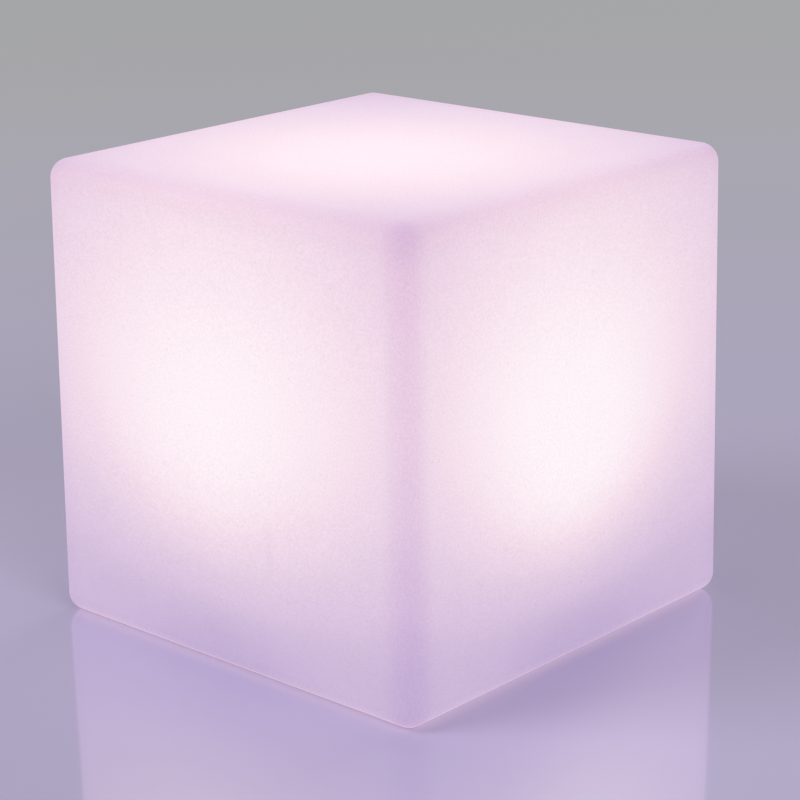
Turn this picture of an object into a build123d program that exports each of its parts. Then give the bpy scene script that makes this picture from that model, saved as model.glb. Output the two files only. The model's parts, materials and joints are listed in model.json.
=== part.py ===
from build123d import *
import math
import os

# A rechargeable mood light: a frosted, milky cube that stands on its flat underside, with a round light
# module screwed into an opening there. Z = 0 is the surface that it stands on, and X and Y are measured
# from the middle of the cube. All sizes are in millimetres.

# Diffuser shell
CUBE_SIDE = 100.0              # across the flats, half way up
CUBE_HEIGHT = 98.5
DRAFT_ANGLE = 0.46             # degrees that each side leans in towards the top
EDGE_RADIUS = 4.0
SHELL_WALL = 2.5

# Well in the underside, whose ledge leaves an opening for the module's cup
LEDGE_WIDTH = 7.0
WELL_MOUTH_RADIUS = 1.2
COVER_SETBACK = 1.5            # the cover's face lies this far above the table
COVER_THICKNESS = 3.0
COVER_CHAMFER = 0.6
COVER_GAP = 0.3                # round the cover, in the well
FACE_GROOVE_DIAMETER = 57.0    # of a moulded groove in the cover's face
FACE_GROOVE_WIDTH = 1.2
FACE_GROOVE_DEPTH = 0.5
GASKET_THICKNESS = 1.0
CUP_GAP = 0.4                  # round the cup, in the opening

# Screws that hold the module in the shell, and the brass inserts that they turn into
BASE_SCREW_COUNT = 4
BASE_SCREW_DIAMETER = 3.0
BASE_SCREW_LENGTH = 8.0
BASE_SCREW_HEAD = 5.6
BASE_SCREW_HEAD_HEIGHT = 1.65
INSERT_DIAMETER = 4.6
INSERT_LENGTH = 6.0
INSERT_BOSS_WALL = 1.2
SCREW_CLEARANCE = 0.1          # radial, round every shank

# Cup, lid and the screws that hold the clear cover and the lid down on the cup
CUP_WALL = 2.0
LID_THICKNESS = 2.0
LID_RING_DEPTH = 1.5
LID_RING_WALL = 1.2
LID_RING_GAP = 0.2
MODULE_SCREW_COUNT = 4
MODULE_SCREW_DIAMETER = 2.5
MODULE_SCREW_LENGTH = 8.0
MODULE_SCREW_HEAD = 4.5
MODULE_SCREW_HEAD_HEIGHT = 1.7
MODULE_BOSS_DIAMETER = 5.6
MODULE_BOSS_BITE = 0.4         # how far the bosses reach into the cup's wall
MODULE_BOSS_GAP = 1.0          # between a boss and the battery's socket
PILOT_SPARE = 1.0              # left free under a screw's tip

# Control board
BOARD_THICKNESS = 1.2
BOARD_GAP = 0.6                # round the board and its notches
BOARD_SCREW_COUNT = 4
BOARD_SCREW_LENGTH = 5.0
STANDOFF_DIAMETER = 5.0
STANDOFF_MARGIN = 3.3          # from the standoffs' outside to the board's rim
BATTERY_CLEARANCE = 0.5        # between the battery and the screws below it

# Power button and its switch
BUTTON_X = -12.0
BUTTON_DIAMETER = 10.0
BUTTON_GAP = 0.2               # radial, in the cover's bore
BUTTON_PROUD = 0.3             # how far the face stands out of the cover
BUTTON_TRAVEL = 1.2
BUTTON_FLANGE_WIDTH = 1.3
BUTTON_FLANGE_HEIGHT = 1.0
BUTTON_DISH_DEPTH = 0.35
BUTTON_CHAMFER = 0.4
O_RING_SECTION = 1.2
O_RING_FIT = 0.06              # radial running fit on the button
O_RING_GROOVE_GAP = 0.05       # round the O-ring, and on each side of it
SWITCH_SIDE = 7.0
SWITCH_CASE_TOP = 0.4
PLUNGER_SIDE = 3.0
PLUNGER_GAP = 0.1
SWITCH_CLEARANCE = 0.5         # left between button and switch at full travel
PLUNGER_ENGAGEMENT = 1.2       # length of the plunger inside the case at rest

# Charging socket and its silicone plug
JACK_X = 12.0
JACK_DIAMETER = 8.0
JACK_HOLE_GAP = 0.3
JACK_BORE = 3.7
JACK_BORE_DEPTH = 6.0
JACK_PIN_DIAMETER = 1.1
JACK_PIN_SETBACK = 0.7
JACK_HEIGHT = 7.7
PORT_RECESS_DIAMETER = 12.0
PORT_RECESS_DEPTH = 1.2
PORT_GAP = 0.3
PORT_PLUG_THICKNESS = 1.0
PORT_PLUG_FLOOR = 0.5          # left below the hollow of the stem
PORT_PLUG_STEM = 4.0
PORT_PLUG_FIT = 0.08           # radial, stem in socket
PORT_PLUG_BORE = 1.9           # clears the socket's pin
PORT_TAB_WIDTH = 4.0
PORT_TAB_REACH = 9.0           # from the middle of the plug
NAIL_NOTCH_DEPTH = 2.2

# Charging light
PIPE_X = 12.0
PIPE_Y = -10.5
PIPE_DIAMETER = 3.0
PIPE_SETBACK = 0.1
PIPE_AIR_GAP = 0.2
CHARGE_LED_SIZE = (2.0, 1.2, 0.8)

# Battery
BATTERY_LENGTH = 35.0
BATTERY_WIDTH = 30.0
BATTERY_THICKNESS = 6.0
PROTECTION_DEPTH = 2.4         # of the battery's length
PROTECTION_INSET = 0.6         # on all four sides of it
TAPE_LENGTH = 28.0
TAPE_WIDTH = 24.0
TAPE_THICKNESS = 0.8

# Chips and connectors on the control board
CONTROL_CHIP_SIZE = (9.9, 3.9, 1.5)
CONTROL_CHIP_PLACE = (0.0, 7.0)
CONTROL_CHIP_LEAD_COUNT = 8    # on each side
CHARGE_CHIP_SIZE = (4.9, 3.9, 1.5)
CHARGE_CHIP_PLACE = (-7.0, -7.0)
CHARGE_CHIP_LEAD_COUNT = 4
CHIP_LEAD_PITCH = 1.27
CHIP_LEAD_WIDTH = 0.42
CHIP_LEAD_REACH = 1.0          # beyond the body
CHIP_LEAD_THICKNESS = 0.25
CHIP_STANDOFF = 0.1
CHIP_BEVEL = 0.25
MOSFET_SIZE = (2.9, 1.3, 1.1)
MOSFET_PLACES = [(0.0, -7.0), (4.5, -7.0), (9.0, -7.0)]
RESISTOR_SIZE = (1.25, 2.0, 0.6)
RESISTOR_COUNT = 6
RESISTOR_PITCH = 2.2
RESISTOR_ROW_START = (-1.0, -11.5)
CAPACITOR_DIAMETER = 5.0
CAPACITOR_HEIGHT = 7.0
CAPACITOR_Y = 12.0
CAPACITOR_GAP = 1.5            # beside the battery
CONNECTOR_WALL = 0.5
BATTERY_SOCKET_SIZE = (5.8, 7.6, 4.8)
BATTERY_SOCKET_Y = 0.0
BATTERY_SOCKET_GAP = 1.6       # beside the battery
BATTERY_PIN_PITCH = 2.0
LED_SOCKET_SIZE = (6.4, 4.4, 3.0)
LED_SOCKET_Y = 7.0
LED_SOCKET_GAP = 1.0           # beside the battery
LED_PIN_PITCH = 1.0
LED_PIN_COUNT = 4
PLUG_INSERTION = 3.0
PLUG_LENGTH = 5.5
PLUG_GAP = 0.1

# Leads
BATTERY_LEAD_DIAMETER = 1.0
BATTERY_LEAD_X = -6.0          # where both leads leave the battery
BATTERY_LEAD_PITCH = 1.4       # one above the other there
BATTERY_LEAD_RUN = 4.0         # straight, out of the battery
BATTERY_LOOP_REACH = 7.5       # of the loop beyond the battery's end
BATTERY_LOOP_WIDTH = 11.5      # from there sideways to the corner of the battery
BATTERY_PLUG_RUN = 5.0         # straight, into the plug
LED_LEAD_DIAMETER = 0.8
LEAD_SLOT_GAP = 0.8
LEAD_SETBACK = 7.0             # from the light board's plug back to the slot in the lid
LED_LEAD_DROP = 4.4            # straight, down from the light board
LED_LEAD_BEND = 1.5
LED_PLUG_RUN = 3.0             # straight, into the plug

# Light board and what is on it
LED_BOARD_THICKNESS = 1.6
LED_BOARD_MARGIN = 2.3         # from its screws to its rim
LED_SCREW_DIAMETER = 2.0
LED_SCREW_LENGTH = 4.0
LED_SCREW_HEAD = 3.8
LED_SCREW_HEAD_HEIGHT = 1.3
LED_SCREW_ANGLES = [90, 180, 270]
LED_BOSS_DIAMETER = 4.0
LED_BOSS_DEPTH = 2.4
LED_BOSS_GAP = 0.2             # between a boss and the battery
LED_SIDE = 5.0
LED_HEIGHT = 1.6
LED_WINDOW_DIAMETER = 4.0
LED_WINDOW_DEPTH = 0.6
LED_OUTER_COUNT = 8
LED_OUTER_RADIUS = 15.0
LED_INNER_COUNT = 4
LED_INNER_RADIUS = 8.0
RECEIVER_SIZE = (5.4, 3.6, 4.4)
RECEIVER_EYE_DIAMETER = 3.2

# Clear cover over the light board
LENS_HEIGHT = 9.0
LENS_GAP = 0.4                 # round the light board
LENS_SCREW_GAP = 0.35          # between its skirt and the heads of its screws
LENS_WALL = 1.2
LENS_BEVEL = 2.5               # round the top
LENS_FLANGE_THICKNESS = 1.4
LENS_O_RING_SECTION = 1.2

# Bevel along the edges of the hollow, which keeps the wall even behind the rounded edges
inner_bevel = max((2 - math.sqrt(2)) * (EDGE_RADIUS - SHELL_WALL), 0.2)

# Heights that follow from the stack, from the table up
floor_z = COVER_SETBACK + COVER_THICKNESS
ledge_z = floor_z + GASKET_THICKNESS
ledge_top_z = ledge_z + SHELL_WALL
port_floor_z = COVER_SETBACK + PORT_RECESS_DEPTH
board_z = port_floor_z + JACK_HEIGHT
board_top_z = board_z + BOARD_THICKNESS
battery_z = board_top_z + MODULE_SCREW_HEAD_HEIGHT + BATTERY_CLEARANCE
battery_top_z = battery_z + BATTERY_THICKNESS
lid_z = battery_top_z + TAPE_THICKNESS
lid_top_z = lid_z + LID_THICKNESS
led_board_top_z = lid_top_z + LED_BOARD_THICKNESS
flange_top_z = lid_top_z + LENS_FLANGE_THICKNESS
button_top_z = floor_z + BUTTON_FLANGE_HEIGHT
switch_z = button_top_z + BUTTON_TRAVEL + SWITCH_CLEARANCE

# Places beside the battery on the control board
battery_socket_x = -(BATTERY_WIDTH / 2 + BATTERY_SOCKET_GAP + BATTERY_SOCKET_SIZE[0] / 2)
led_socket_x = BATTERY_WIDTH / 2 + LED_SOCKET_GAP + LED_SOCKET_SIZE[0] / 2
capacitor_x = BATTERY_WIDTH / 2 + CAPACITOR_GAP + CAPACITOR_DIAMETER / 2

# Radii and diameters that follow, from the battery outwards
led_screw_radius = BATTERY_LENGTH / 2 + LED_BOSS_GAP + LED_BOSS_DIAMETER / 2
led_board_diameter = 2 * (led_screw_radius + LED_BOARD_MARGIN)
lens_bore = led_board_diameter + 2 * LENS_GAP
lens_diameter = lens_bore + 2 * LENS_WALL
lens_o_ring_radius = (lens_bore + LENS_WALL) / 2
screw_past_lens = lens_diameter / 2 + LENS_SCREW_GAP + MODULE_SCREW_HEAD / 2
socket_edge = BATTERY_SOCKET_SIZE[0] / 2 - battery_socket_x
boss_past_socket = socket_edge + MODULE_BOSS_GAP + MODULE_BOSS_DIAMETER / 2
module_screw_radius = max(screw_past_lens, boss_past_socket)
flange_diameter = 2 * module_screw_radius + MODULE_BOSS_DIAMETER
cup_bore = 2 * (module_screw_radius - MODULE_BOSS_BITE) + MODULE_BOSS_DIAMETER
cup_diameter = cup_bore + 2 * CUP_WALL
opening_diameter = cup_diameter + 2 * CUP_GAP
well_diameter = opening_diameter + 2 * LEDGE_WIDTH
cover_diameter = well_diameter - 2 * COVER_GAP
base_screw_radius = (opening_diameter + LEDGE_WIDTH) / 2
board_diameter = cup_bore - 2 * BOARD_GAP
standoff_radius = board_diameter / 2 - STANDOFF_MARGIN - STANDOFF_DIAMETER / 2
o_ring_radius = BUTTON_DIAMETER / 2 + O_RING_FIT + O_RING_SECTION / 2

ON_BASE = (Align.CENTER, Align.CENTER, Align.MIN)
PEG_SIDES = 10                 # of what is round, small and hidden
FACE_PEG_SIDES = 16            # of what is round and small, and shows in the cover's face


def disc(diameter, z_low, z_high, x=0.0, y=0.0):
    """Upright cylinder between two heights."""
    return Pos(x, y, z_low) * Cylinder(diameter / 2, z_high - z_low, align=ON_BASE)


def peg(diameter, z_low, z_high, x=0.0, y=0.0, sides=PEG_SIDES):
    """Upright prism in place of a small cylinder between two heights: a shank, a boss or a hole for one."""
    return Pos(x, y, z_low) * extrude(RegularPolygon(diameter / 2, sides), z_high - z_low)


def countersink(low_diameter, high_diameter, z_low, z_high, x, y):
    """Many-sided frustum of a countersunk head, or of its seat."""
    low = Pos(x, y, z_low) * RegularPolygon(low_diameter / 2, FACE_PEG_SIDES)
    high = Pos(x, y, z_high) * RegularPolygon(high_diameter / 2, FACE_PEG_SIDES)
    return loft([low, high], ruled=True)


def block(length, width, z_low, z_high, x=0.0, y=0.0):
    """Upright box between two heights."""
    return Pos(x, y, z_low) * Box(length, width, z_high - z_low, align=ON_BASE)


def around(radius, count, start=0.0):
    """Evenly spaced places on a circle about the middle."""
    angles = [math.radians(start + 360 * i / count) for i in range(count)]
    return [(radius * math.cos(a), radius * math.sin(a)) for a in angles]


def base_screw_places():
    return around(base_screw_radius, BASE_SCREW_COUNT, 45)


def module_screw_places():
    return around(module_screw_radius, MODULE_SCREW_COUNT)


def standoff_places():
    return around(standoff_radius, BOARD_SCREW_COUNT, 45)


def led_screw_places():
    angles = [math.radians(a) for a in LED_SCREW_ANGLES]
    return [(led_screw_radius * math.cos(a), led_screw_radius * math.sin(a)) for a in angles]


def cross_recess(head_diameter, z_low, z_high, x, y):
    """Cross-shaped driver recess."""
    arm = 0.55 * head_diameter
    slot = 0.14 * head_diameter
    return block(arm, slot, z_low, z_high, x, y) + block(slot, arm, z_low, z_high, x, y)


def pan_screw(diameter, length, head_diameter, head_height, seat_z, x, y):
    """Screw that stands head up on a seat, with the rim of its head bevelled."""
    head = peg(head_diameter, seat_z, seat_z + head_height, x, y)
    head = chamfer(head.edges().group_by(Axis.Z)[-1], 0.35 * head_height)
    return head + peg(diameter, seat_z - length, seat_z, x, y)


def drafted_cube(inset):
    """The cube's outline moved in by the inset on every side, with sharp edges."""
    height = CUBE_HEIGHT - 2 * inset
    side = CUBE_SIDE - 2 * inset + math.tan(math.radians(DRAFT_ANGLE)) * height
    return extrude(Pos(0, 0, inset) * Rectangle(side, side), amount=height, taper=DRAFT_ANGLE)


def diffuser_shell():
    """Hollow cube whose underside turns in as a well with a ledge, and bosses round the inserts."""
    outside = drafted_cube(0)
    hollow = drafted_cube(SHELL_WALL)
    shell = fillet(outside.edges(), EDGE_RADIUS) - chamfer(hollow.edges(), inner_bevel)
    shell += disc(well_diameter + 2 * SHELL_WALL, 0, ledge_top_z)
    boss_diameter = INSERT_DIAMETER + 2 * INSERT_BOSS_WALL
    boss_top_z = ledge_z + INSERT_LENGTH + INSERT_BOSS_WALL
    for x, y in base_screw_places():
        shell += peg(boss_diameter, ledge_z, boss_top_z, x, y)
    shell -= disc(well_diameter, 0, ledge_z)
    shell -= disc(opening_diameter, 0, boss_top_z)
    for x, y in base_screw_places():
        shell -= peg(INSERT_DIAMETER, ledge_z, ledge_z + INSERT_LENGTH, x, y)
    mouth = shell.edges().filter_by(GeomType.CIRCLE).group_by(Axis.Z)[0]
    mouth = [e for e in mouth if abs(e.radius - well_diameter / 2) < 0.01]
    return fillet(mouth, WELL_MOUTH_RADIUS)


def threaded_inserts():
    bore = BASE_SCREW_DIAMETER + 2 * SCREW_CLEARANCE
    inserts = []
    for x, y in base_screw_places():
        insert = peg(INSERT_DIAMETER, ledge_z, ledge_z + INSERT_LENGTH, x, y)
        inserts.append(insert - peg(bore, ledge_z, ledge_z + INSERT_LENGTH, x, y))
    return Compound(inserts)


def base_gasket():
    """Flat ring between the cover and the shell's ledge."""
    gasket = disc(cover_diameter, floor_z, ledge_z) - disc(opening_diameter, floor_z, ledge_z)
    for x, y in base_screw_places():
        gasket -= peg(BASE_SCREW_DIAMETER + 4 * SCREW_CLEARANCE, floor_z, ledge_z, x, y)
    return gasket


def base_screws():
    """Countersunk screws, flush with the cover's face."""
    face_z = COVER_SETBACK
    head_z = face_z + BASE_SCREW_HEAD_HEIGHT
    screws = []
    for x, y in base_screw_places():
        head = countersink(BASE_SCREW_HEAD, BASE_SCREW_DIAMETER, face_z, head_z, x, y)
        shank = peg(BASE_SCREW_DIAMETER, head_z, face_z + BASE_SCREW_LENGTH, x, y)
        recess = cross_recess(BASE_SCREW_HEAD, face_z, face_z + 0.6 * BASE_SCREW_HEAD_HEIGHT, x, y)
        screws.append(head + shank - recess)
    return Compound(screws)


def base_cup():
    """Cover of the underside in one piece with the cup, its standoffs and its screw bosses."""
    cup = disc(cover_diameter, COVER_SETBACK, floor_z)
    cup = chamfer(cup.edges().group_by(Axis.Z)[0], COVER_CHAMFER)
    groove_z = COVER_SETBACK + FACE_GROOVE_DEPTH
    cup -= disc(FACE_GROOVE_DIAMETER + FACE_GROOVE_WIDTH, COVER_SETBACK, groove_z) - disc(
        FACE_GROOVE_DIAMETER - FACE_GROOVE_WIDTH, COVER_SETBACK, groove_z
    )
    cup += disc(cup_diameter, floor_z, lid_z) - disc(cup_bore, floor_z, lid_z)
    for x, y in module_screw_places():
        cup += peg(MODULE_BOSS_DIAMETER, floor_z, lid_z, x, y) & disc(cup_diameter, floor_z, lid_z)
        pilot_z = flange_top_z - MODULE_SCREW_LENGTH - PILOT_SPARE
        cup -= peg(MODULE_SCREW_DIAMETER + 2 * SCREW_CLEARANCE, pilot_z, lid_z, x, y)
    for x, y in standoff_places():
        cup += peg(STANDOFF_DIAMETER, floor_z, board_z, x, y)
        cup -= peg(MODULE_SCREW_DIAMETER + 2 * SCREW_CLEARANCE, floor_z, board_z, x, y)
    for x, y in base_screw_places():
        cup -= peg(BASE_SCREW_DIAMETER + 2 * SCREW_CLEARANCE, COVER_SETBACK, floor_z, x, y)
        cup -= countersink(
            BASE_SCREW_HEAD + 2 * SCREW_CLEARANCE,
            BASE_SCREW_DIAMETER + 2 * SCREW_CLEARANCE,
            COVER_SETBACK,
            COVER_SETBACK + BASE_SCREW_HEAD_HEIGHT,
            x,
            y,
        )
    cup -= button_bore()
    cup -= port_recess()
    cup -= peg(PIPE_DIAMETER, COVER_SETBACK, floor_z, PIPE_X, PIPE_Y, FACE_PEG_SIDES)
    return cup


def button_bore():
    """Bore for the button, with the groove that holds its O-ring."""
    bore = disc(BUTTON_DIAMETER + 2 * BUTTON_GAP, COVER_SETBACK, floor_z, BUTTON_X)
    groove_diameter = 2 * (o_ring_radius + O_RING_SECTION / 2 + O_RING_GROOVE_GAP)
    middle_z = (COVER_SETBACK + floor_z) / 2
    groove_half = O_RING_SECTION / 2 + O_RING_GROOVE_GAP
    return bore + disc(groove_diameter, middle_z - groove_half, middle_z + groove_half, BUTTON_X)


def port_recess():
    """Socket hole, plug recess, slot for the plug's tab and a scoop for a fingernail under its end."""
    recess = disc(JACK_DIAMETER + 2 * JACK_HOLE_GAP, COVER_SETBACK, floor_z, JACK_X)
    recess += disc(PORT_RECESS_DIAMETER, COVER_SETBACK, port_floor_z, JACK_X)
    slot_reach = PORT_TAB_REACH + PORT_GAP
    slot_width = PORT_TAB_WIDTH + 2 * PORT_GAP
    recess += block(slot_reach, slot_width, COVER_SETBACK, port_floor_z, JACK_X + slot_reach / 2)
    scoop = Rot(90, 0, 0) * Cylinder(NAIL_NOTCH_DEPTH, slot_width)
    return recess + Pos(JACK_X + slot_reach, 0, COVER_SETBACK) * scoop


def power_button():
    """Push button with a dished face and a flange that keeps it in the cover."""
    face_z = COVER_SETBACK - BUTTON_PROUD
    stem = disc(BUTTON_DIAMETER, face_z, floor_z, BUTTON_X)
    stem = chamfer(stem.edges().group_by(Axis.Z)[0], BUTTON_CHAMFER)
    dish_half = 0.35 * BUTTON_DIAMETER
    dish_radius = (dish_half**2 + BUTTON_DISH_DEPTH**2) / (2 * BUTTON_DISH_DEPTH)
    dish = Pos(BUTTON_X, 0, face_z + BUTTON_DISH_DEPTH - dish_radius) * Sphere(dish_radius)
    flange = disc(BUTTON_DIAMETER + 2 * BUTTON_FLANGE_WIDTH, floor_z, button_top_z, BUTTON_X)
    return stem + flange - dish


def o_ring(radius, section):
    """Ring about Z with an eight-sided section that is as wide as it is high."""
    outline = Rot(0, 0, 22.5) * RegularPolygon(section / 2, 8, major_radius=False)
    return revolve(Plane.XZ * Pos(radius, 0) * outline, Axis.Z)


def button_o_ring():
    middle_z = (COVER_SETBACK + floor_z) / 2
    return Pos(BUTTON_X, 0, middle_z) * o_ring(o_ring_radius, O_RING_SECTION)


def push_switch():
    """Case of the switch, hanging from the control board, with the bore of its plunger."""
    case = block(SWITCH_SIDE, SWITCH_SIDE, switch_z, board_z, BUTTON_X)
    case = chamfer(case.edges().group_by(Axis.Z)[0], 0.3)
    bore = PLUNGER_SIDE + 2 * PLUNGER_GAP
    return case - block(bore, bore, switch_z, board_z - SWITCH_CASE_TOP, BUTTON_X)


def switch_plunger():
    return block(PLUNGER_SIDE, PLUNGER_SIDE, button_top_z, switch_z + PLUNGER_ENGAGEMENT, BUTTON_X)


def charging_jack():
    """Round socket that hangs from the control board, its mouth in the cover's port recess."""
    jack = disc(JACK_DIAMETER, port_floor_z, board_z, JACK_X)
    jack -= disc(JACK_BORE, port_floor_z, port_floor_z + JACK_BORE_DEPTH, JACK_X)
    return jack - peg(JACK_PIN_DIAMETER, port_floor_z, board_z, JACK_X)


def jack_contacts():
    """Centre pin of the socket, from the control board down to just inside the mouth."""
    pin = peg(JACK_PIN_DIAMETER, port_floor_z + JACK_PIN_SETBACK, board_z, JACK_X)
    return chamfer(pin.edges().group_by(Axis.Z)[0], 0.3 * JACK_PIN_DIAMETER)


def port_plug():
    """Silicone plug: a stem round the socket's pin, a flange in the recess and a tab to pull."""
    low_z = port_floor_z - PORT_PLUG_THICKNESS
    plug = disc(PORT_RECESS_DIAMETER - 2 * PORT_GAP, low_z, port_floor_z, JACK_X)
    plug += block(PORT_TAB_REACH, PORT_TAB_WIDTH, low_z, port_floor_z, JACK_X + PORT_TAB_REACH / 2)
    stem_diameter = JACK_BORE - 2 * PORT_PLUG_FIT
    plug += disc(stem_diameter, port_floor_z, port_floor_z + PORT_PLUG_STEM, JACK_X)
    return plug - disc(PORT_PLUG_BORE, low_z + PORT_PLUG_FLOOR, port_floor_z + PORT_PLUG_STEM, JACK_X)


def light_pipe():
    """Clear rod pressed into the cover, up to just below the charging light."""
    top_z = board_z - CHARGE_LED_SIZE[2] - PIPE_AIR_GAP
    return peg(PIPE_DIAMETER, COVER_SETBACK + PIPE_SETBACK, top_z, PIPE_X, PIPE_Y, FACE_PEG_SIDES)


def charge_led():
    length, width, height = CHARGE_LED_SIZE
    return block(length, width, board_z - height, board_z, PIPE_X, PIPE_Y)


def control_board():
    """Round board with notches round the cup's bosses and holes over its standoffs."""
    board = disc(board_diameter, board_z, board_top_z)
    for x, y in module_screw_places():
        board -= peg(MODULE_BOSS_DIAMETER + 2 * BOARD_GAP, board_z, board_top_z, x, y)
    for x, y in standoff_places():
        board -= peg(MODULE_SCREW_DIAMETER + 2 * SCREW_CLEARANCE, board_z, board_top_z, x, y)
    return board


def board_screws():
    return Compound(
        [
            pan_screw(
                MODULE_SCREW_DIAMETER,
                BOARD_SCREW_LENGTH,
                MODULE_SCREW_HEAD,
                MODULE_SCREW_HEAD_HEIGHT,
                board_top_z,
                x,
                y,
            )
            for x, y in standoff_places()
        ]
    )


def chip(size, place, leads):
    """Small-outline chip: a body with a chamfered top and a row of leads on each long side."""
    length, width, height = size
    x, y = place
    foot_z = board_top_z + CHIP_STANDOFF
    body = block(length, width, foot_z, foot_z + height, x, y)
    body = chamfer(body.edges().group_by(Axis.Z)[-1], CHIP_BEVEL)
    row = (leads - 1) * CHIP_LEAD_PITCH
    for i in range(leads):
        body += lead_pair(width, x - row / 2 + i * CHIP_LEAD_PITCH, y)
    return body


def lead_pair(width, x, y):
    """Two opposite leads of a chip, as one strip on the board that passes under its body."""
    top_z = board_top_z + CHIP_LEAD_THICKNESS
    return block(CHIP_LEAD_WIDTH, width + 2 * CHIP_LEAD_REACH, board_top_z, top_z, x, y)


def control_chip():
    return chip(CONTROL_CHIP_SIZE, CONTROL_CHIP_PLACE, CONTROL_CHIP_LEAD_COUNT)


def charge_chip():
    return chip(CHARGE_CHIP_SIZE, CHARGE_CHIP_PLACE, CHARGE_CHIP_LEAD_COUNT)


def mosfets():
    """Three driver transistors, one for each colour."""
    length, width, height = MOSFET_SIZE
    parts = []
    for x, y in MOSFET_PLACES:
        foot_z = board_top_z + CHIP_STANDOFF
        body = block(length, width, foot_z, foot_z + height, x, y)
        parts.append(body + lead_pair(width, x, y))
    return Compound(parts)


def resistors():
    """Row of current-limiting resistors, two for each colour."""
    length, width, height = RESISTOR_SIZE
    x, y = RESISTOR_ROW_START
    places = [(x + i * RESISTOR_PITCH, y) for i in range(RESISTOR_COUNT)]
    return Compound([block(length, width, board_top_z, board_top_z + height, px, py) for px, py in places])


def capacitors():
    cans = []
    for x, y in [(capacitor_x, -CAPACITOR_Y), (-capacitor_x, CAPACITOR_Y)]:
        can = peg(CAPACITOR_DIAMETER, board_top_z, board_top_z + CAPACITOR_HEIGHT, x, y)
        cans.append(chamfer(can.edges().group_by(Axis.Z)[-1], 0.4))
    return Compound(cans)


def socket(size, x, y):
    """Connector socket on the control board, with its mouth at y and open towards -Y."""
    width, depth, height = size
    case = block(width, depth, board_top_z, board_top_z + height, x, y + depth / 2)
    mouth_width = width - 2 * CONNECTOR_WALL
    low_z = board_top_z + CONNECTOR_WALL
    high_z = board_top_z + height - CONNECTOR_WALL
    mouth_depth = PLUG_INSERTION + PLUG_GAP
    return case - block(mouth_width, mouth_depth, low_z, high_z, x, y + mouth_depth / 2)


def plug(size, x, y):
    """Connector plug, part way into its socket."""
    width, depth, height = size
    plug_width = width - 2 * CONNECTOR_WALL - 2 * PLUG_GAP
    low_z = board_top_z + CONNECTOR_WALL + PLUG_GAP
    high_z = board_top_z + height - CONNECTOR_WALL - PLUG_GAP
    return block(plug_width, PLUG_LENGTH, low_z, high_z, x, y + PLUG_INSERTION - PLUG_LENGTH / 2)


def battery_socket():
    return socket(BATTERY_SOCKET_SIZE, battery_socket_x, BATTERY_SOCKET_Y)


def battery_plug():
    return plug(BATTERY_SOCKET_SIZE, battery_socket_x, BATTERY_SOCKET_Y)


def led_socket():
    return socket(LED_SOCKET_SIZE, led_socket_x, LED_SOCKET_Y)


def led_plug():
    return plug(LED_SOCKET_SIZE, led_socket_x, LED_SOCKET_Y)


def battery_pack():
    """Flat pouch cell with rounded long edges."""
    length = BATTERY_LENGTH - PROTECTION_DEPTH
    cell = block(BATTERY_WIDTH, length, battery_z, battery_top_z, 0, PROTECTION_DEPTH / 2)
    return fillet(cell.edges().filter_by(Axis.Y), 0.3 * BATTERY_THICKNESS)


def protection_board():
    """Taped protection circuit on the end of the cell, where the leads come out."""
    width = BATTERY_WIDTH - 2 * PROTECTION_INSET
    low_z = battery_z + PROTECTION_INSET
    high_z = battery_top_z - PROTECTION_INSET
    y = (PROTECTION_DEPTH - BATTERY_LENGTH) / 2
    return block(width, PROTECTION_DEPTH, low_z, high_z, 0, y)


def battery_tape():
    """Foam tape between the battery and the lid."""
    return block(TAPE_WIDTH, TAPE_LENGTH, battery_top_z, lid_z)


def lead(points, diameter):
    """Six-sided lead through the points, each corner an arc as large as its two runs allow."""
    path_points = [Vector(*p) for p in points]
    radii = []
    for before, corner, after in zip(path_points, path_points[1:], path_points[2:]):
        run_in = corner - before
        run_out = after - corner
        half_turn = math.radians(run_in.get_angle(run_out)) / 2
        radii.append(0.45 * min(run_in.length, run_out.length) / math.tan(half_turn))
    print("lead of", diameter, "mm, bend radii", [round(r, 1) for r in radii])
    path = FilletPolyline(*path_points, radius=radii)
    start = Plane(origin=path @ 0, z_dir=path % 0)
    return sweep(start * RegularPolygon(diameter / 2, 6), path=path)


def battery_lead(side):
    """Lead from the battery's end, round the edge of the control board, to its side of the plug."""
    plug_x = battery_socket_x + side * BATTERY_PIN_PITCH / 2
    plug_y = BATTERY_SOCKET_Y + PLUG_INSERTION - PLUG_LENGTH
    plug_z = board_top_z + BATTERY_SOCKET_SIZE[2] / 2
    cell_y = -BATTERY_LENGTH / 2
    cell_z = (battery_z + battery_top_z) / 2 + side * BATTERY_LEAD_PITCH / 2
    loop_x = BATTERY_LEAD_X - BATTERY_LOOP_WIDTH
    points = [
        (BATTERY_LEAD_X, cell_y, cell_z),
        (BATTERY_LEAD_X, cell_y - BATTERY_LEAD_RUN, cell_z),
        (BATTERY_LEAD_X - 0.4 * BATTERY_LOOP_WIDTH, cell_y - BATTERY_LOOP_REACH, cell_z),
        (loop_x, cell_y - 0.4 * BATTERY_LOOP_REACH, cell_z),
        (plug_x, plug_y - 2 * BATTERY_PLUG_RUN, (cell_z + plug_z) / 2),
        (plug_x, plug_y - BATTERY_PLUG_RUN, plug_z),
        (plug_x, plug_y, plug_z),
    ]
    return lead(points, BATTERY_LEAD_DIAMETER)


def battery_lead_red():
    return battery_lead(1)


def battery_lead_black():
    return battery_lead(-1)


def led_lead_places():
    row = (LED_PIN_COUNT - 1) * LED_PIN_PITCH
    return [led_socket_x - row / 2 + i * LED_PIN_PITCH for i in range(LED_PIN_COUNT)]


def led_slot_y():
    return LED_SOCKET_Y + PLUG_INSERTION - PLUG_LENGTH - LEAD_SETBACK


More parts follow.
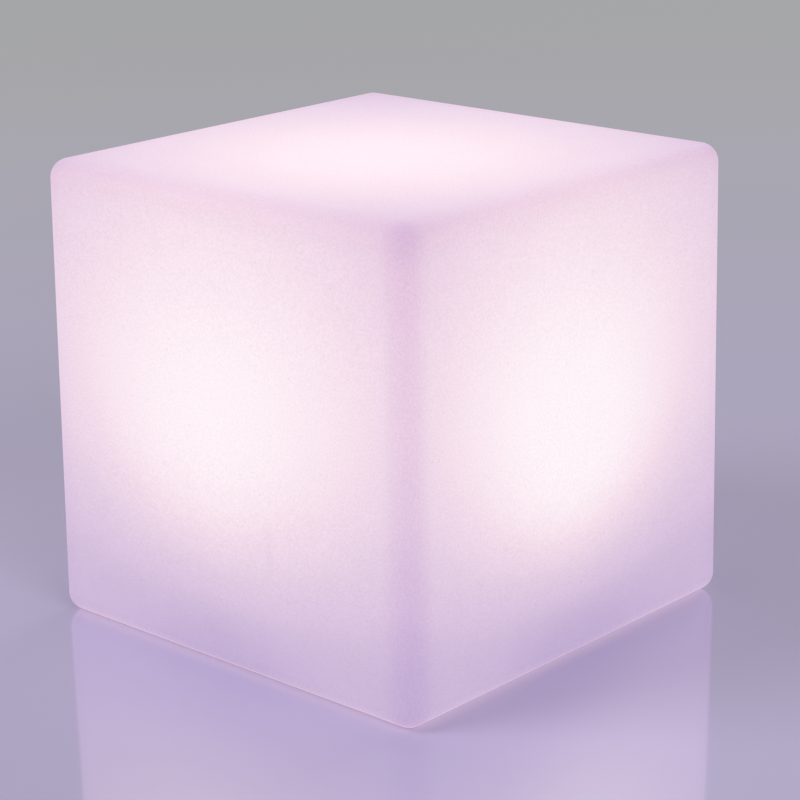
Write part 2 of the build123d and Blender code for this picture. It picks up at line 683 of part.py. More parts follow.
def led_leads():
    """Four leads from the light board, down through the lid's slot, to the plug."""
    plug_y = LED_SOCKET_Y + PLUG_INSERTION - PLUG_LENGTH
    plug_z = board_top_z + LED_SOCKET_SIZE[2] / 2
    slot_y = led_slot_y()
    leads = []
    for x in led_lead_places():
        points = [
            (x, slot_y, lid_top_z),
            (x, slot_y, lid_top_z - LED_LEAD_DROP),
            (x, slot_y + LED_LEAD_BEND, plug_z + LED_LEAD_BEND),
            (x, plug_y - LED_PLUG_RUN, plug_z),
            (x, plug_y, plug_z),
        ]
        leads.append(lead(points, LED_LEAD_DIAMETER))
    return Compound(leads)


def module_lid():
    """Lid of the cup, with a locating ring, bosses for the light board and a slot for its leads."""
    lid = disc(cup_diameter, lid_z, lid_top_z)
    ring_diameter = cup_bore - 2 * LID_RING_GAP
    ring_low_z = lid_z - LID_RING_DEPTH
    ring = disc(ring_diameter, ring_low_z, lid_z) - disc(ring_diameter - 2 * LID_RING_WALL, ring_low_z, lid_z)
    for x, y in module_screw_places():
        ring -= peg(MODULE_BOSS_DIAMETER + 2 * LID_RING_GAP, ring_low_z, lid_z, x, y)
    lid += ring
    for x, y in module_screw_places():
        lid -= peg(MODULE_SCREW_DIAMETER + 2 * SCREW_CLEARANCE, lid_z, lid_top_z, x, y)
    for x, y in led_screw_places():
        lid += peg(LED_BOSS_DIAMETER, lid_z - LED_BOSS_DEPTH, lid_z, x, y)
        lid -= peg(LED_SCREW_DIAMETER + 2 * SCREW_CLEARANCE, lid_z - LED_BOSS_DEPTH, lid_top_z, x, y)
    slot_length = (LED_PIN_COUNT - 1) * LED_PIN_PITCH + LED_LEAD_DIAMETER + 2 * LEAD_SLOT_GAP
    slot_width = LED_LEAD_DIAMETER + 2 * LEAD_SLOT_GAP
    lid -= block(slot_length, slot_width, lid_z, lid_top_z, led_socket_x, led_slot_y())
    return lid - lens_groove()


def lens_groove():
    """Groove in the lid for the O-ring under the clear cover."""
    outer = 2 * lens_o_ring_radius + LENS_O_RING_SECTION
    inner = 2 * lens_o_ring_radius - LENS_O_RING_SECTION
    low_z = lid_top_z - LENS_O_RING_SECTION
    return disc(outer, low_z, lid_top_z) - disc(inner, low_z, lid_top_z)


def cover_o_ring():
    return Pos(0, 0, lid_top_z - LENS_O_RING_SECTION / 2) * o_ring(lens_o_ring_radius, LENS_O_RING_SECTION)


def led_board():
    board = disc(led_board_diameter, lid_top_z, led_board_top_z)
    for x, y in led_screw_places():
        board -= peg(LED_SCREW_DIAMETER + 2 * SCREW_CLEARANCE, lid_top_z, led_board_top_z, x, y)
    return board


def led_board_screws():
    return Compound(
        [
            pan_screw(
                LED_SCREW_DIAMETER,
                LED_SCREW_LENGTH,
                LED_SCREW_HEAD,
                LED_SCREW_HEAD_HEIGHT,
                led_board_top_z,
                x,
                y,
            )
            for x, y in led_screw_places()
        ]
    )


def rgb_leds():
    """Square packages with a round window, in an outer and an inner ring."""
    outer = around(LED_OUTER_RADIUS, LED_OUTER_COUNT, 180 / LED_OUTER_COUNT)
    inner = around(LED_INNER_RADIUS, LED_INNER_COUNT, 180 / LED_INNER_COUNT)
    top_z = led_board_top_z + LED_HEIGHT
    leds = []
    for x, y in outer + inner:
        turn = math.degrees(math.atan2(y, x))
        package = Box(LED_SIDE, LED_SIDE, LED_HEIGHT, align=ON_BASE)
        package = Pos(x, y, led_board_top_z) * Rot(0, 0, turn) * package
        leds.append(package - peg(LED_WINDOW_DIAMETER, top_z - LED_WINDOW_DEPTH, top_z, x, y))
    return Compound(leds)


def ir_receiver():
    """Receiver for the remote control, with a round eye on top."""
    length, width, height = RECEIVER_SIZE
    top_z = led_board_top_z + height
    body = block(length, width, led_board_top_z, top_z)
    body = fillet(body.edges().group_by(Axis.Z)[-1], 0.3)
    return body + Pos(0, 0, top_z - 0.4) * Sphere(RECEIVER_EYE_DIAMETER / 2)


def lens_form(diameter, top_z, bevel):
    """Upright cylinder on the lid with a bevel round its top."""
    form = disc(diameter, lid_top_z, top_z)
    return chamfer(form.edges().group_by(Axis.Z)[-1], bevel)


def lens_cover():
    """Clear cover: a flange on the lid, a straight skirt and a bevelled flat top, hollow below."""
    top_z = lid_top_z + LENS_HEIGHT
    inner_bevel = max(LENS_BEVEL - 0.6 * LENS_WALL, 0.2)
    cover = disc(flange_diameter, lid_top_z, flange_top_z)
    cover += lens_form(lens_diameter, top_z, LENS_BEVEL)
    cover -= lens_form(lens_bore, top_z - LENS_WALL, inner_bevel)
    for x, y in module_screw_places():
        cover -= peg(MODULE_SCREW_DIAMETER + 2 * SCREW_CLEARANCE, lid_top_z, flange_top_z, x, y)
    return cover


def module_screws():
    return Compound(
        [
            pan_screw(
                MODULE_SCREW_DIAMETER,
                MODULE_SCREW_LENGTH,
                MODULE_SCREW_HEAD,
                MODULE_SCREW_HEAD_HEIGHT,
                flange_top_z,
                x,
                y,
            )
            for x, y in module_screw_places()
        ]
    )


SUB_PARTS = [
    diffuser_shell,
    threaded_inserts,
    base_gasket,
    base_screws,
    base_cup,
    power_button,
    button_o_ring,
    push_switch,
    switch_plunger,
    charging_jack,
    jack_contacts,
    port_plug,
    light_pipe,
    charge_led,
    control_board,
    board_screws,
    control_chip,
    charge_chip,
    mosfets,
    resistors,
    capacitors,
    battery_socket,
    battery_plug,
    battery_pack,
    protection_board,
    battery_tape,
    battery_lead_red,
    battery_lead_black,
    led_socket,
    led_plug,
    led_leads,
    module_lid,
    cover_o_ring,
    led_board,
    led_board_screws,
    rgb_leds,
    ir_receiver,
    lens_cover,
    module_screws,
]

os.makedirs("parts", exist_ok=True)
for make in SUB_PARTS:
    export_step(make(), f"parts/{make.__name__}.step")
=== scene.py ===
import json
import math

import bpy
from mathutils import Matrix, Vector


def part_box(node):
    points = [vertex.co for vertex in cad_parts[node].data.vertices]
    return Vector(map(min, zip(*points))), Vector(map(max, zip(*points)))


# Dresses a glowing cube lamp: its CAD nodes get procedural materials, and the camera, the light and
# the floor are set up round it. Lengths are in metres in the scene and in millimetres in the materials.

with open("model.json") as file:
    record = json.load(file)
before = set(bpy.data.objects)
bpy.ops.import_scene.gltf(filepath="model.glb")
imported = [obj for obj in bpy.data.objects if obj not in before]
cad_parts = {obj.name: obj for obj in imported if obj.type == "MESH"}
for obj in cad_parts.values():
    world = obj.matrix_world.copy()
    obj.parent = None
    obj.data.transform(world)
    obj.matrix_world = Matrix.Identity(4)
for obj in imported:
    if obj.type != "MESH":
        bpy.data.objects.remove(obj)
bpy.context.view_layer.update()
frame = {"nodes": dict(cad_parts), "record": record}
NODES = frame["nodes"]

MM_PER_METRE = 1000.0
SIDE = 100.0                   # of the cube, across the flats half way up
HEIGHT = 98.5
EDGE_RADIUS = 4.0

MIX_A, MIX_B, MIX_RESULT = 6, 7, 2   # the Mix node's sockets for colours


def linear(red, green, blue):
    """Linear colour of three display values from 0 to 255."""
    values = [v / 255 for v in (red, green, blue)]
    return tuple(v / 12.92 if v <= 0.04045 else ((v + 0.055) / 1.055) ** 2.4 for v in values) + (1.0,)


class Field:
    """A number that varies over a surface, worked out by Math nodes."""

    def __init__(self, shader, socket):
        self.shader = shader
        self.socket = socket

    def math(self, operation, *others):
        made = self.shader.node("Math", operation=operation)
        for socket, value in zip(made.inputs, (self, *others)):
            self.shader.wire(socket, value)
        return Field(self.shader, made.outputs[0])

    def __add__(self, other):
        return self.math("ADD", other)

    def __sub__(self, other):
        return self.math("SUBTRACT", other)

    def __mul__(self, other):
        return self.math("MULTIPLY", other)

    def __truediv__(self, other):
        return self.math("DIVIDE", other)

    def __pow__(self, power):
        return self.math("POWER", power)

    def size(self):
        return self.math("ABSOLUTE")

    def least(self, other):
        return self.math("MINIMUM", other)

    def most(self, other):
        return self.math("MAXIMUM", other)

    def span(self, low, high, at_low=0.0, at_high=1.0):
        """Eases from one value to the other while this field goes from low to high."""
        made = self.shader.node("MapRange", interpolation_type="SMOOTHSTEP")
        for name, value in (
            ("Value", self),
            ("From Min", low),
            ("From Max", high),
            ("To Min", at_low),
            ("To Max", at_high),
        ):
            self.shader.wire(made.inputs[name], value)
        return Field(self.shader, made.outputs["Result"])


class Shader:
    """A material with one Principled surface, and short calls for the nodes that feed it."""

    def __init__(self, name, colour, roughness, metallic=0.0, **fixed):
        self.material = bpy.data.materials.new(name)
        self.material.use_nodes = True
        self.tree = self.material.node_tree
        self.surface = self.tree.nodes["Principled BSDF"]
        self.set("Base Color", colour)
        self.set("Roughness", roughness)
        self.set("Metallic", metallic)
        for socket, value in fixed.items():
            self.set(socket.replace("_", " "), value)
        place = self.node("TexCoord").outputs["Object"]
        scaled = self.node("VectorMath", operation="SCALE")
        self.wire(scaled.inputs[0], place)
        self.wire(scaled.inputs["Scale"], MM_PER_METRE)
        self.place = scaled.outputs[0]
        split = self.node("SeparateXYZ")
        self.wire(split.inputs[0], self.place)
        self.x, self.y, self.z = (Field(self, s) for s in split.outputs)

    def node(self, kind, **settings):
        made = self.tree.nodes.new("ShaderNode" + kind)
        for key, value in settings.items():
            setattr(made, key, value)
        return made

    def wire(self, socket, value):
        if isinstance(value, Field):
            value = value.socket
        if isinstance(value, bpy.types.NodeSocket):
            self.tree.links.new(value, socket)
        else:
            socket.default_value = value

    def set(self, socket, value):
        self.wire(self.surface.inputs[socket], value)

    def stretched(self, x, y, z):
        """The place with each axis scaled, for grain that runs one way."""
        made = self.node("VectorMath", operation="MULTIPLY")
        self.wire(made.inputs[0], self.place)
        made.inputs[1].default_value = (x, y, z)
        return made.outputs[0]

    def noise(self, pitch, detail=2.0, roughness=0.5, place=None):
        """Noise from 0 to 1 whose lumps are about as wide as the pitch, in millimetres."""
        made = self.node("TexNoise")
        self.wire(made.inputs["Vector"], place or self.place)
        made.inputs["Scale"].default_value = 1 / pitch
        made.inputs["Detail"].default_value = detail
        made.inputs["Roughness"].default_value = roughness
        return Field(self, made.outputs["Fac"])

    def cells(self, pitch):
        """Distance to the nearest of scattered points about a pitch apart, from 0 to about 1."""
        made = self.node("TexVoronoi")
        self.wire(made.inputs["Vector"], self.place)
        made.inputs["Scale"].default_value = 1 / pitch
        return Field(self, made.outputs["Distance"])

    def mix(self, share, first, second):
        """The first colour where the share is 0, the second where it is 1."""
        made = self.node("Mix", data_type="RGBA")
        self.wire(made.inputs[0], share)
        self.wire(made.inputs[MIX_A], first)
        self.wire(made.inputs[MIX_B], second)
        return made.outputs[MIX_RESULT]

    def tinted(self, colour, factor):
        """One colour multiplied by another."""
        made = self.node("Mix", data_type="RGBA", blend_type="MULTIPLY")
        made.inputs[0].default_value = 1.0
        self.wire(made.inputs[MIX_A], colour)
        self.wire(made.inputs[MIX_B], factor)
        return made.outputs[MIX_RESULT]

    def ramp(self, field, stops):
        """Colour that follows a field through stops of (value, colour)."""
        made = self.node("ValToRGB")
        self.wire(made.inputs[0], field)
        elements = made.color_ramp.elements
        while len(elements) < len(stops):
            elements.new(0.5)
        for element, (position, colour) in zip(elements, stops):
            element.position = position
            element.color = colour
        return made.outputs[0]

    def bump(self, height, depth, strength=1.0):
        """Relief of the given depth, in millimetres, where the height goes from 0 to 1."""
        made = self.node("Bump")
        made.inputs["Strength"].default_value = strength
        made.inputs["Distance"].default_value = depth / MM_PER_METRE
        self.wire(made.inputs["Height"], height)
        self.set("Normal", made.outputs[0])


WHITE = (1.0, 1.0, 1.0, 1.0)


def fall(field, reach, power):
    """Falls from 1 at zero towards 0 beyond the reach, the more sharply the higher the power."""
    return (((field / reach) ** power) * -1).math("EXPONENT")


def tint(colour, factor):
    """A plain colour made darker or paler."""
    return tuple(min(1.0, c * factor) for c in colour[:3]) + (1.0,)


# Camera, fitted to the outline of the cube in the photograph

VIEW_ANGLES = (42.34, 17.436, -0.854)          # azimuth, elevation and roll, in degrees
VIEW_FROM = (0.33991, -0.36990, 0.20262)
FOCAL_PIXELS = 2494.7                          # in a picture of this width
PICTURE_WIDTH = 800
SENSOR_WIDTH = 36.0


def make_camera():
    azimuth, elevation, roll = (math.radians(angle) for angle in VIEW_ANGLES)
    back = Vector(
        (
            math.sin(azimuth) * math.cos(elevation),
            -math.cos(azimuth) * math.cos(elevation),
            math.sin(elevation),
        )
    )
    right = Vector((0, 0, 1)).cross(back).normalized()
    up = back.cross(right)
    turned_right = right * math.cos(roll) + up * math.sin(roll)
    turned_up = up * math.cos(roll) - right * math.sin(roll)
    data = bpy.data.cameras.new("camera")
    data.sensor_width = SENSOR_WIDTH
    data.lens = SENSOR_WIDTH * FOCAL_PIXELS / PICTURE_WIDTH
    data.clip_start = 0.01
    data.clip_end = 60.0
    camera = bpy.data.objects.new("camera", data)
    bpy.context.scene.collection.objects.link(camera)
    axes = Matrix((turned_right, turned_up, back)).transposed()
    camera.matrix_world = Matrix.Translation(VIEW_FROM) @ axes.to_4x4()
    bpy.context.scene.camera = camera


make_camera()


# Light, floor and background

LIT_POINT = (0, 0, 0.03)
LAMPS = [                      # name, place, what it points at, diameter, watts, mirrored by gloss
    ("key_light", (-0.9, -1.3, 1.4), LIT_POINT, 1.2, 22.0, False),
    ("fill_light", (1.6, -0.5, 1.0), LIT_POINT, 1.2, 17.0, False),
    ("back_light", (-0.2, 1.6, 1.4), LIT_POINT, 1.2, 10.0, False),
    ("under_light", (0, 0, -0.9), (0, 0, 0), 0.9, 5.0, True),
]
WORLD_COLOUR = (0.80, 0.80, 0.83, 1.0)
WORLD_STRENGTH = 0.45


def area_light(name, place, target, diameter, power, mirrored):
    data = bpy.data.lights.new(name, "AREA")
    data.shape = "DISK"
    data.size = diameter
    data.energy = power
    light = bpy.data.objects.new(name, data)
    bpy.context.scene.collection.objects.link(light)
    light.location = place
    light.rotation_euler = (Vector(target) - light.location).to_track_quat("-Z", "Y").to_euler()
    light.visible_glossy = mirrored


def make_world():
    world = bpy.data.worlds.new("studio")
    bpy.context.scene.world = world
    world.use_nodes = True
    background = world.node_tree.nodes["Background"]
    background.inputs["Color"].default_value = WORLD_COLOUR
    background.inputs["Strength"].default_value = WORLD_STRENGTH


for lamp in LAMPS:
    area_light(*lamp)
make_world()

CORNERS = ((-1, -1), (1, -1), (1, 1), (-1, 1))   # signs of x and y
FLOOR_REACH = 12.0             # half its width
FLOOR_HOLE = 0.044             # half the hole's width; the cube's flat underside covers it
# near the cube the pale floor carries a painted lavender glow from the lamp
FLOOR_NEAR_GLOW = linear(178, 168, 203)
FLOOR_FAR = linear(186, 188, 186)
FLOOR_FADE = (60.0, 900.0)     # distances from the middle between which the one turns into the other


def make_floor():
    """Wide floor with a hole that the cube covers, so that light from below reaches the underside."""
    inner = [(x * FLOOR_HOLE, y * FLOOR_HOLE, 0) for x, y in CORNERS]
    outer = [(x * FLOOR_REACH, y * FLOOR_REACH, 0) for x, y in CORNERS]
    faces = [(i, 4 + i, 4 + (i + 1) % 4, (i + 1) % 4) for i in range(4)]
    mesh = bpy.data.meshes.new("floor")
    mesh.from_pydata(inner + outer, [], faces)
    mesh.update()
    floor = bpy.data.objects.new("floor", mesh)
    bpy.context.scene.collection.objects.link(floor)
    mesh.materials.append(floor_material())


def floor_material():
    """Glossy and pale, with the lamp's lavender glow painted on it round the lamp. A camera under the
    floor sees through it.
    """
    gloss = {"Coat_Weight": 1.0, "Coat_Roughness": 0.06, "Coat_IOR": 2.0}
    shader = Shader("pale_floor", FLOOR_NEAR_GLOW, 0.12, **gloss)
    away = (shader.x**2 + shader.y**2) ** 0.5
    # painted glow of the lamp near it, fading out to the plain grey further away
    shader.set("Base Color", shader.mix(away.span(*FLOOR_FADE), FLOOR_NEAR_GLOW, FLOOR_FAR))
    underneath = Field(shader, shader.node("NewGeometry").outputs["Backfacing"])
    to_camera = Field(shader, shader.node("LightPath").outputs["Is Camera Ray"])
    see_through = shader.node("BsdfTransparent")
    blend = shader.node("MixShader")
    shader.wire(blend.inputs[0], underneath * to_camera)
    shader.wire(blend.inputs[1], shader.surface.outputs[0])
    shader.wire(blend.inputs[2], see_through.outputs[0])
    shader.wire(shader.tree.nodes["Material Output"].inputs["Surface"], blend.outputs[0])
    return shader.material


make_floor()


# Materials

SHELL_BASE = linear(122, 114, 124)   # frosted shell with its light off, darkened because it glows too
STUDIO_SHARE = 0.745                 # of that colour that the studio light brings out on the sides

# The glow is a level, from 0 to about 1, that a ramp turns into a colour. Two clusters of light,
# (x, y, power), shine upwards from the height GLOW_Z, between the LEDs and the top of the clear cover.
CLUSTERS = [(-5.5, -9.1, 0.990), (17.7, 0.0, 0.593)]
GLOW_Z = 29.1
GLOW_SPREAD = 30.0             # height over which a place comes into their light
BOUNCED_LEVEL = 0.612          # from light that has bounced round inside the shell
LEVEL_LIMIT = 0.935            # the level stays below this
LEVEL_EASE = 0.685             # how gently it comes near that
GLOW_RAMP = [                  # level, and the colour that the shell shows there
    (0.10, (120, 98, 150)),
    (0.25, (168, 146, 196)),
    (0.45, (198, 178, 212)),
    (0.53, (217, 195, 221)),
    (0.65, (231, 209, 227)),
    (0.77, (243, 221, 233)),
    (0.87, (250, 233, 240)),
    (0.93, (254, 243, 247)),
]

# How far each shade takes the level down
MODULE_SHADE = 0.051
WELL_SHADE = 0.097
EDGE_SHADE = 0.087
# painted shade on the top face, offsetting the stronger studio light there
TOP_PAINTED_SHADE = 0.093
CORNER_SHADE = 0.052
STREAK_SHADE = 0.050

# How far the level is raised
FOOT_LIFT = 0.075
CONTACT_LIFT = 0.25            # where the shell stands on the floor
SIDE_LIFT = 0.016
MOTTLE_SHARE = 0.012           # up or down by half of this

STREAK_X, STREAK_Z = 13.4, 29.5  # middle of a faint darker upright streak in the glow, on the side that faces -y
STREAK_Y = (-49.0, -48.0)       # full further out than the first, gone further in than the second

# What the roundings multiply the colour by: upright edges at foot and head, and top edges
FOOT_TINT = (0.907, 0.857, 0.951, 1.0)
HEAD_TINT = (0.948, 0.866, 0.932, 1.0)
TOP_TINT = (0.982, 0.898, 0.924, 1.0)
CORNER_TINTS = [               # depth below the top, reach, colour
    (1.6, 5.2, (0.884, 0.911, 0.991, 1.0)),
    (-2.1, 17.1, (1.0, 0.942, 0.963, 1.0)),
]


def glow_colour(red, green, blue):
    """What the shell has to give off itself for the studio light to bring it up to this colour."""
    wanted = linear(red, green, blue)
    return tuple(max(0.0, w - STUDIO_SHARE * b) for w, b in zip(wanted[:3], SHELL_BASE[:3])) + (1.0,)


def shell_material():
    """Frosted polyethylene, lit from inside: brightest higher up than the light board, dim at the foot."""
    shader = Shader("milky_polyethylene", SHELL_BASE, 0.52, Specular_IOR_Level=0.25)
    x, y, z = shader.x, shader.y, shader.z

    # straight from the clusters, which shine upwards
    above = (z - GLOW_Z).math("SMOOTH_MAX", 0.0, GLOW_SPREAD)
    direct = None
    for cluster_x, cluster_y, power in CLUSTERS:
        distance = ((x - cluster_x) ** 2 + (y - cluster_y) ** 2 + (z - GLOW_Z) ** 2) ** 0.5
        share = above / distance * ((distance / (SIDE / 2)) ** -3.0) * power
        direct = direct + share if direct else share

    # distances to the cube's flat sides, its nearest edge and its nearest upper corner
    to_x = (x.size() - SIDE / 2) * -1
    to_y = (y.size() - SIDE / 2) * -1
    to_z = (z - HEIGHT) * -1
    low = to_x.least(to_y)
    high = to_x.most(to_y)
    edge = low.most(high.least(to_z))
    corner = high.most(to_z)

    # less bounced light comes beside the module and its well, and to corners and edges
    beside_module = fall(z.most(0.0), reach=22.9, power=3.85) * MODULE_SHADE
    above_foot = fall(z.most(0.0), reach=14.7, power=2.0)
    off_middle = fall(high * -1 + SIDE / 2, reach=25.8, power=2.0)
    beside_well = above_foot * off_middle * WELL_SHADE
    edge_shade = fall(edge, reach=40.9, power=1.0) * EDGE_SHADE
    # painted shade over the top face and the top of its rounding, offsetting the studio lamps above, which
    # light it more than the sides
    top_painted_shade = to_z.span(0.3, EDGE_RADIUS, TOP_PAINTED_SHADE, 0.0)
    corner_shade = fall(corner, reach=39.8, power=1.0) * CORNER_SHADE

    # cloudiness of the wall, and a faint darker upright streak in the glow low on one side
    mottle = shader.noise(9.0, 2.0, 0.5) - 0.5
    streak_across = (x - STREAK_X).size().span(0.0, 1.7, 1.0, 0.0)
    streak_along = (z - STREAK_Z).size().span(2.0, 6.0, 1.0, 0.0)
    on_side = y.span(*STREAK_Y, STREAK_SHADE, 0.0)
    streak = streak_across * streak_along * on_side

    # little studio light reaches the foot's rounding, which faces the floor, so its glow makes up for that
    contact = z.span(0.0, 1.5, CONTACT_LIFT, 0.0) * low.span(2.0, 5.0, 1.0, 0.0)
    foot_lift = z.span(0.0, EDGE_RADIUS, FOOT_LIFT, 0.0) + contact

    # the front edge is the dimmest of the upright ones
    frontness = (x - y).span(0.0, SIDE)
    side_lift = (frontness * -1 + 1) * fall(edge, reach=10.0, power=2.0) * SIDE_LIFT

    shades = beside_module + beside_well + edge_shade + top_painted_shade + corner_shade + streak
    level = direct + BOUNCED_LEVEL - shades + side_lift + foot_lift + mottle * MOTTLE_SHARE
    stops = [(stop, glow_colour(*shown)) for stop, shown in GLOW_RAMP]
    glow = shader.ramp(level.math("SMOOTH_MIN", LEVEL_LIMIT, LEVEL_EASE), stops)

    # the rounded edges are dimmer and pinker
    side_tint = shader.mix(z.span(0.0, HEIGHT), FOOT_TINT, HEAD_TINT)
    upright = high.span(1.2, 7.5, 1.0, 0.0) * (frontness * 0.65 + 0.35)
    glow = shader.tinted(glow, shader.mix(upright, WHITE, side_tint))
    top_edge = low.most(to_z).span(-2.0, 8.9, 1.0, 0.0)
    glow = shader.tinted(glow, shader.mix(top_edge, WHITE, TOP_TINT))

    # most of all at the upper corners
    for down, reach, corner_tint in CORNER_TINTS:
        distance = (high**2 + (to_z - down) ** 2) ** 0.5
        spot = fall(distance, reach, 2.0) * (frontness * 0.5 + 0.5)
        glow = shader.tinted(glow, shader.mix(spot, WHITE, corner_tint))

    # grain of the moulding, with a few darker pores
    grain = shader.noise(0.45, 3.0, 0.7).span(0.25, 0.75, 0.93, 1.07)
    pores = shader.cells(3.0).span(0.03, 0.12, 0.09, 0.0)
    shader.set("Emission Color", shader.tinted(glow, (grain - pores).socket))
    shader.set("Emission Strength", 1.0)
    relief = shader.noise(0.30, 3.0, 0.6) * 0.6 + shader.noise(1.4, 2.0, 0.5) * 0.4
    shader.bump(relief, 0.05, 0.5)
    cloudy = shader.mix(mottle + 0.5, tint(SHELL_BASE, 0.94), tint(SHELL_BASE, 1.06))
    shader.set("Base Color", cloudy)
    shader.set("Roughness", shader.noise(0.6, 2.0).span(0.3, 0.7, 0.46, 0.58))
    return shader.material


def moulded(name, colour, roughness, grain=0.25, depth=0.02):
    """Injection-moulded plastic with a spark-eroded texture and faint flow marks."""
    shader = Shader(name, colour, roughness)
    flow = shader.noise(7.0, 3.0, 0.6)
    texture = shader.noise(grain, 2.0, 0.6)
    shader.set("Base Color", shader.mix(flow, tint(colour, 0.93), tint(colour, 1.05)))
    # noise is 0.5 on average, so half of its two shares comes off again
    shader.set("Roughness", (texture * 0.12 + flow * 0.08) + (roughness - 0.10))
    shader.bump(texture, depth, 0.6)
    return shader.material


def metal(name, colour, roughness, stretch=(1, 1, 1)):
    """Metal with fine machining marks and patches of duller plating."""
    shader = Shader(name, colour, roughness, metallic=1.0)
    marks = shader.noise(0.25, 3.0, 0.7, shader.stretched(*stretch))
    patches = shader.noise(2.2, 3.0, 0.6)
    shader.set("Base Color", shader.mix(patches, tint(colour, 0.86), tint(colour, 1.08)))
    shader.set("Roughness", patches * 0.16 + marks * 0.10 + (roughness - 0.13))
    shader.bump(marks, 0.01, 0.5)
    return shader.material


def rubber(name, colour, roughness):
    """Soft rubber with a matt bloom."""
    shader = Shader(name, colour, roughness, Sheen_Weight=0.15, Sheen_Roughness=0.4)
    bloom = shader.noise(3.0, 4.0, 0.6)
    skin = shader.noise(0.5, 2.0, 0.6)
    shader.set("Base Color", shader.mix(bloom, tint(colour, 0.90), tint(colour, 1.10)))
    shader.set("Roughness", bloom * 0.15 + (roughness - 0.07))
    shader.bump(skin, 0.02, 0.5)
    return shader.material


def clear(name, colour):
    """Clear plastic with faint flow lines."""
    shader = Shader(name, colour, 0.08, Transmission_Weight=0.9, IOR=1.49)
    flow = shader.noise(4.0, 2.0, 0.5, shader.stretched(1, 1, 0.3))
    shader.set("Roughness", flow * 0.10 + 0.08)
    shader.bump(flow, 0.02, 0.4)
    return shader.material


TRACK_PITCH = 1.6


def board(name, mask, copper):
    """Circuit board: solder mask over a maze of tracks, with the glass weave just showing."""
    shader = Shader(name, mask, 0.35, Coat_Weight=0.3, Coat_Roughness=0.15)
    tracks = shader.node("TexBrick")
    shader.wire(tracks.inputs["Vector"], shader.place)
    tracks.inputs["Scale"].default_value = 1 / (4 * TRACK_PITCH)
    tracks.inputs["Mortar Size"].default_value = 0.035
    tracks.inputs["Mortar Smooth"].default_value = 0.3
    line = Field(shader, tracks.outputs["Fac"])
    weave_x = (shader.x * 4.0).math("SINE")
    weave_y = (shader.y * 4.0).math("SINE")
    weave = weave_x * weave_y * 0.5 + 0.5
    base = shader.mix(weave, tint(mask, 0.95), tint(mask, 1.05))
    shader.set("Base Color", shader.mix(line * 0.8, base, copper))
    shader.set("Roughness", shader.noise(2.5, 2.0) * 0.12 + 0.28)
    shader.bump(line, 0.035, 0.8)
    return shader.material


def led_material(top_z):
    """White package whose round window shows the chips on its floor under clear resin."""
    white = (0.85, 0.85, 0.83, 1.0)
    black = (0.0, 0.0, 0.0, 1.0)
    shader = Shader("led_package", white, 0.3, Coat_Weight=0.2)
    below_rim = shader.z.span(top_z - 0.45, top_z - 0.25, 1.0, 0.0)
    in_window = below_rim * shader.z.span(top_z - 0.75, top_z - 0.65)
    gold = shader.noise(0.5, 1.0).span(0.45, 0.55)
    lit = shader.mix(gold, (0.95, 0.88, 1.0, 1.0), (0.85, 0.62, 1.0, 1.0))
    shader.set("Base Color", shader.mix(in_window, white, lit))
    shader.set("Emission Color", shader.mix(in_window, black, lit))
    shader.set("Emission Strength", 2.0)
    shader.bump(shader.noise(0.3, 2.0), 0.01, 0.4)
    return shader.material


def sleeve_material(top_z):
    """Capacitor: dark sleeve round the can, bare aluminium on top."""
    shader = Shader("can_sleeve", (0.6, 0.6, 0.62, 1.0), 0.35)
    bare = shader.z.span(top_z - 0.45, top_z - 0.35)
    marks = shader.noise(0.3, 2.0)
    shader.set("Base Color", shader.mix(bare, (0.02, 0.025, 0.05, 1.0), (0.62, 0.62, 0.64, 1.0)))
    shader.set("Metallic", bare)
    shader.set("Roughness", marks * 0.15 + 0.25)
    shader.bump(marks, 0.01, 0.4)
    return shader.material


def foil_material():
    """Aluminised pouch with shallow wrinkles."""
    shader = Shader("cell_foil", (0.62, 0.63, 0.65, 1.0), 0.35, metallic=0.9)
    wrinkles = shader.noise(6.0, 4.0, 0.55)
    fine = shader.noise(0.5, 2.0)
    shader.set("Base Color", shader.mix(wrinkles, (0.55, 0.56, 0.58, 1.0), (0.70, 0.71, 0.73, 1.0)))
    shader.set("Roughness", fine * 0.12 + wrinkles * 0.12 + 0.24)
    shader.bump(wrinkles * 0.9 + fine * 0.1, 0.12, 0.7)
    return shader.material


def foam_material():
    """Double-sided foam tape with open pores on its cut edges."""
    shader = Shader("foam", (0.03, 0.03, 0.03, 1.0), 0.9)
    pores = shader.cells(0.35).span(0.1, 0.5)
    shader.set("Base Color", shader.mix(pores, (0.008, 0.008, 0.008, 1.0), (0.04, 0.04, 0.04, 1.0)))
    shader.set("Roughness", pores * 0.1 + 0.82)
    shader.bump(pores, 0.08)
    return shader.material


def tape_material():
    """Amber film tape with small air bubbles."""
    shader = Shader("amber_tape", (0.50, 0.20, 0.02, 1.0), 0.25, Coat_Weight=0.3)
    bubbles = shader.noise(1.2, 3.0).span(0.4, 0.7)
    shader.set("Base Color", shader.mix(bubbles, (0.36, 0.13, 0.01, 1.0), (0.58, 0.27, 0.04, 1.0)))
    shader.set("Roughness", bubbles * 0.2 + 0.18)
    shader.bump(bubbles, 0.03, 0.5)
    return shader.material


led_top_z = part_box("rgb_leds")[1].z * MM_PER_METRE
can_top_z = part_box("capacitors")[1].z * MM_PER_METRE

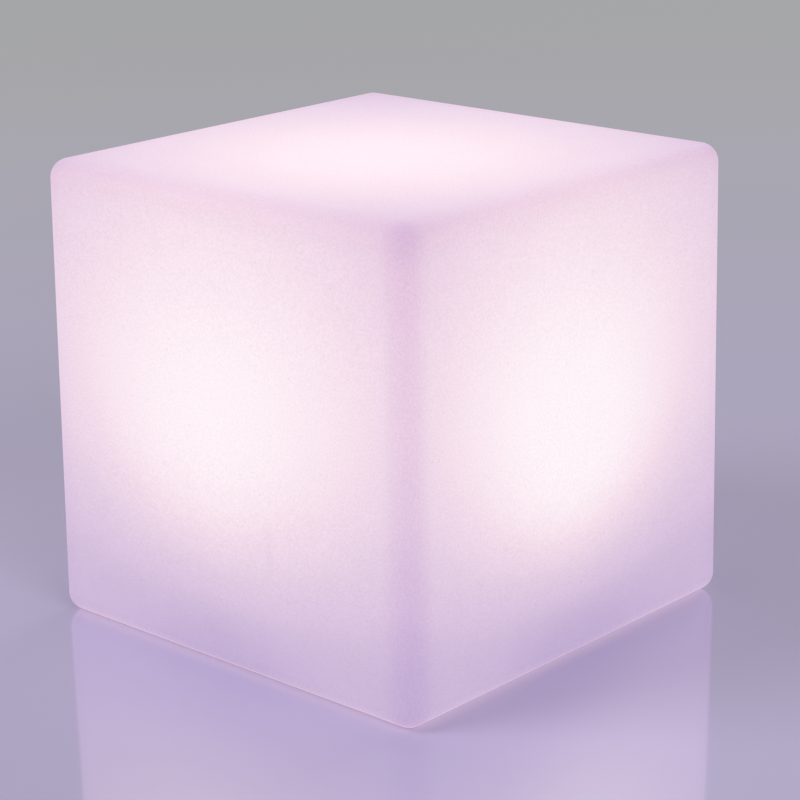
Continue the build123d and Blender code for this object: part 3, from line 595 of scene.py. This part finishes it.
MATERIALS = {
    "milky_polyethylene": shell_material(),
    "cover_plastic": moulded("cover_plastic", linear(226, 226, 229), 0.40),
    "inner_plastic": moulded("inner_plastic", linear(219, 219, 214), 0.45),
    "button_plastic": moulded("button_plastic", linear(176, 178, 186), 0.32, grain=0.5, depth=0.01),
    "silicone": rubber("silicone", linear(214, 214, 216), 0.55),
    "o_ring_rubber": rubber("o_ring_rubber", (0.015, 0.015, 0.015, 1.0), 0.5),
    "foam": foam_material(),
    "brass": metal("brass", (0.72, 0.50, 0.20, 1.0), 0.34, stretch=(1, 1, 0.15)),
    "screw_steel": metal("screw_steel", (0.56, 0.56, 0.58, 1.0), 0.30),
    "black_plastic": moulded("black_plastic", (0.018, 0.018, 0.02, 1.0), 0.45),
    "socket_plastic": moulded("socket_plastic", linear(236, 232, 216), 0.38),
    "contact_metal": metal("contact_metal", (0.72, 0.71, 0.68, 1.0), 0.22),
    "clear_plastic": clear("clear_plastic", (0.93, 0.95, 0.97, 1.0)),
    "board_green": board("board_green", (0.012, 0.085, 0.03, 1.0), (0.03, 0.17, 0.06, 1.0)),
    "board_white": board("board_white", (0.80, 0.80, 0.80, 1.0), (0.70, 0.71, 0.72, 1.0)),
    "charge_led": moulded("charge_led", (0.75, 0.60, 0.18, 1.0), 0.22),
    "led_package": led_material(led_top_z),
    "receiver_epoxy": moulded(
        "receiver_epoxy", (0.012, 0.008, 0.02, 1.0), 0.16, grain=2.0, depth=0.005
    ),
    "can_sleeve": sleeve_material(can_top_z),
    "cell_foil": foil_material(),
    "amber_tape": tape_material(),
    "lead_red": rubber("lead_red", (0.45, 0.012, 0.012, 1.0), 0.4),
    "lead_black": rubber("lead_black", (0.012, 0.012, 0.012, 1.0), 0.4),
    "lead_white": rubber("lead_white", (0.72, 0.72, 0.70, 1.0), 0.4),
}


def dress(node, slot):
    """Gives a CAD node the material of its slot."""
    thing = NODES[node]
    thing.data.materials.clear()
    thing.data.materials.append(MATERIALS[slot])


for entry in frame["record"]["subparts"]:
    dress(entry["node"], entry["material_slot"])


# View settings

bpy.context.scene.view_settings.view_transform = "Standard"
